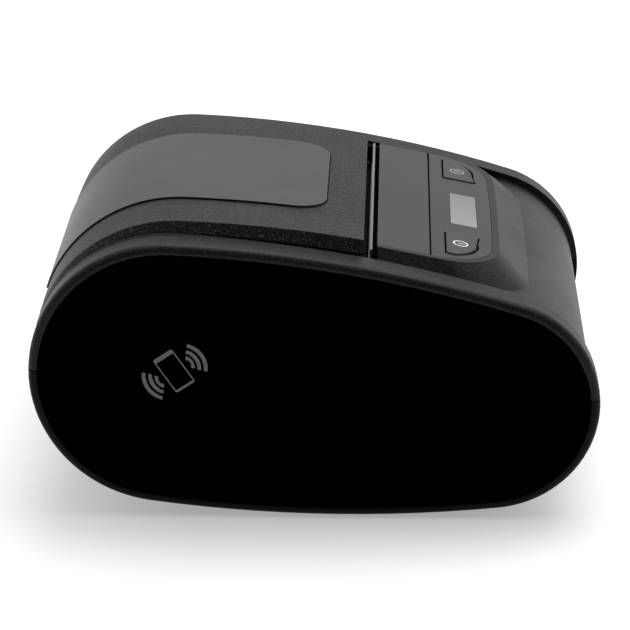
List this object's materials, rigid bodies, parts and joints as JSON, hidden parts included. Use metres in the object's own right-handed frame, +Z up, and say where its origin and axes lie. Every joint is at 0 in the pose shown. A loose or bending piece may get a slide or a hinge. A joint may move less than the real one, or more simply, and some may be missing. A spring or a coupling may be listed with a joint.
{
  "type": "portable label printer",
  "caption": "Battery label printer with a hinged roll lid, tear slot, control panel and flat side faces, for 80 mm rolls.",
  "frame": {"origin": "centre of the bounding box in plan, on the plane under the feet", "axes": "+X towards the rounded front with the control panel, +Y towards the side with the charging port, +Z up"},
  "size_m": [0.14, 0.11, 0.0745],
  "materials": {
    "case_plastic": "moulded black plastic, fine spark texture",
    "lid_plastic": "moulded black plastic, coarse grain",
    "smooth_plastic": "smooth satin black plastic",
    "side_plastic": "black plastic, flat matt face",
    "button_plastic": "dark grey key plastic",
    "inner_plastic": "black moulded inner part",
    "gear_plastic": "natural acetal",
    "roller_rubber": "ground silicone rubber",
    "foot_rubber": "matt rubber",
    "shaft_steel": "ground steel",
    "sheet_steel": "zinc-plated sheet",
    "bushing_brass": "sintered bronze",
    "head_aluminium": "extruded bar",
    "head_ceramic": "glazed ceramic strip",
    "board_green": "glass-fibre board with solder mask",
    "chip_black": "moulded chip cases",
    "display_glass": "display window",
    "display_panel": "display cell",
    "battery_plastic": "battery case",
    "tag_copper": "printed copper loop"
  },
  "bodies": {
    "case": {"lower_case": "case_plastic", "upper_case": "case_plastic", "left_side_cover": "side_plastic", "right_side_cover": "side_plastic", "hinge_pin": "shaft_steel", "idler_pin": "shaft_steel", "stepper_motor": "sheet_steel", "print_chassis": "sheet_steel", "head_pivot_pin": "shaft_steel", "head_springs": "shaft_steel", "catch_springs": "shaft_steel", "tear_bar": "sheet_steel", "front_strip": "smooth_plastic", "control_panel": "smooth_plastic", "display_window": "display_glass", "display_module": "display_panel", "key_board": "board_green", "tact_switches": "chip_black", "paper_bucket": "inner_plastic", "paper_apron": "inner_plastic", "battery_pack": "battery_plastic", "main_board": "board_green", "board_parts": "chip_black", "charge_port": "sheet_steel", "nfc_tag": "tag_copper", "feet": "foot_rubber", "case_screws": "sheet_steel"},
    "lid": {"lid_cover": "lid_plastic", "lid_insert_panel": "smooth_plastic", "platen_bushings": "bushing_brass", "platen_carrier": "sheet_steel"},
    "platen": {"platen_rubber": "roller_rubber", "platen_shaft": "shaft_steel", "platen_gear": "gear_plastic"},
    "idler": {"idler_gear": "gear_plastic"},
    "motor_rotor": {"motor_pinion": "gear_plastic"},
    "print_head": {"printhead_heatsink": "head_aluminium", "printhead_ceramic": "head_ceramic"},
    "power_key": {"power_button": "button_plastic"},
    "feed_key": {"feed_button": "button_plastic"},
    "left_guide": {"left_paper_guide": "inner_plastic"},
    "right_guide": {"right_paper_guide": "inner_plastic"},
    "guide_gear": {"guide_pinion": "gear_plastic"},
    "sensor_carriage": {"gap_sensor": "chip_black"},
    "port_flap": {"port_cover": "foot_rubber"},
    "latch": {"battery_latch": "button_plastic"}
  },
  "joints": [
    {"name": "lid_hinge", "type": "hinge", "parent": "case", "child": "lid", "pos_m": [-0.06616, 0, 0.0475], "axis": [0, -1, 0], "range_deg": [0, 90]},
    {"name": "platen_spin", "type": "hinge", "parent": "lid", "child": "platen", "pos_m": [0.0077, 0, 0.058], "axis": [0, 1, 0], "continuous": true},
    {"name": "idler_spin", "type": "hinge", "parent": "case", "child": "idler", "pos_m": [0.01415, 0.0441, 0.04683], "axis": [0, 1, 0], "continuous": true},
    {"name": "motor_spin", "type": "hinge", "parent": "case", "child": "motor_rotor", "pos_m": [0.02328, 0.0441, 0.03889], "axis": [0, 1, 0], "continuous": true},
    {"name": "head_rock", "type": "hinge", "parent": "case", "child": "print_head", "pos_m": [0.0178, 0, 0.052], "axis": [0, 1, 0], "range_deg": [0, 2], "stiffness_Nm_per_rad": 0.5, "springref_deg": -2.86},
    {"name": "power_press", "type": "slide", "parent": "case", "child": "power_key", "axis": [-0.2011, 0, -0.9796], "range_m": [0, 0.0006], "stiffness_N_per_m": 400, "springref_m": -0.0005},
    {"name": "feed_press", "type": "slide", "parent": "case", "child": "feed_key", "axis": [-0.2011, 0, -0.9796], "range_m": [0, 0.0006], "stiffness_N_per_m": 400, "springref_m": -0.0005},
    {"name": "left_guide_slide", "type": "slide", "parent": "case", "child": "left_guide", "axis": [0, 1, 0], "range_m": [0, 0.02]},
    {"name": "right_guide_slide", "type": "slide", "parent": "case", "child": "right_guide", "axis": [0, -1, 0], "range_m": [0, 0.02]},
    {"name": "guide_gear_spin", "type": "hinge", "parent": "case", "child": "guide_gear", "pos_m": [-0.0295, 0, 0.0095], "axis": [0, 0, -1], "range_deg": [0, 240]},
    {"name": "sensor_slide", "type": "slide", "parent": "case", "child": "sensor_carriage", "axis": [0, 1, 0], "range_m": [-0.028, 0.028]},
    {"name": "port_cover_swing", "type": "hinge", "parent": "case", "child": "port_flap", "pos_m": [0.0299, 0.0544, 0.031], "axis": [0, 0, 1], "range_deg": [0, 100]},
    {"name": "latch_slide", "type": "slide", "parent": "case", "child": "latch", "axis": [-1, 0, 0], "range_m": [0, 0.0032], "stiffness_N_per_m": 100, "springref_m": -0.002}
  ],
  "couplings": [
    {"joint": "idler_spin", "follows": "platen_spin", "ratio": -0.6},
    {"joint": "motor_spin", "follows": "platen_spin", "ratio": 1.2},
    {"joint": "right_guide_slide", "follows": "left_guide_slide", "ratio": 1},
    {"joint": "guide_gear_spin", "follows": "left_guide_slide", "rad_per_m": 208.33}
  ]
}
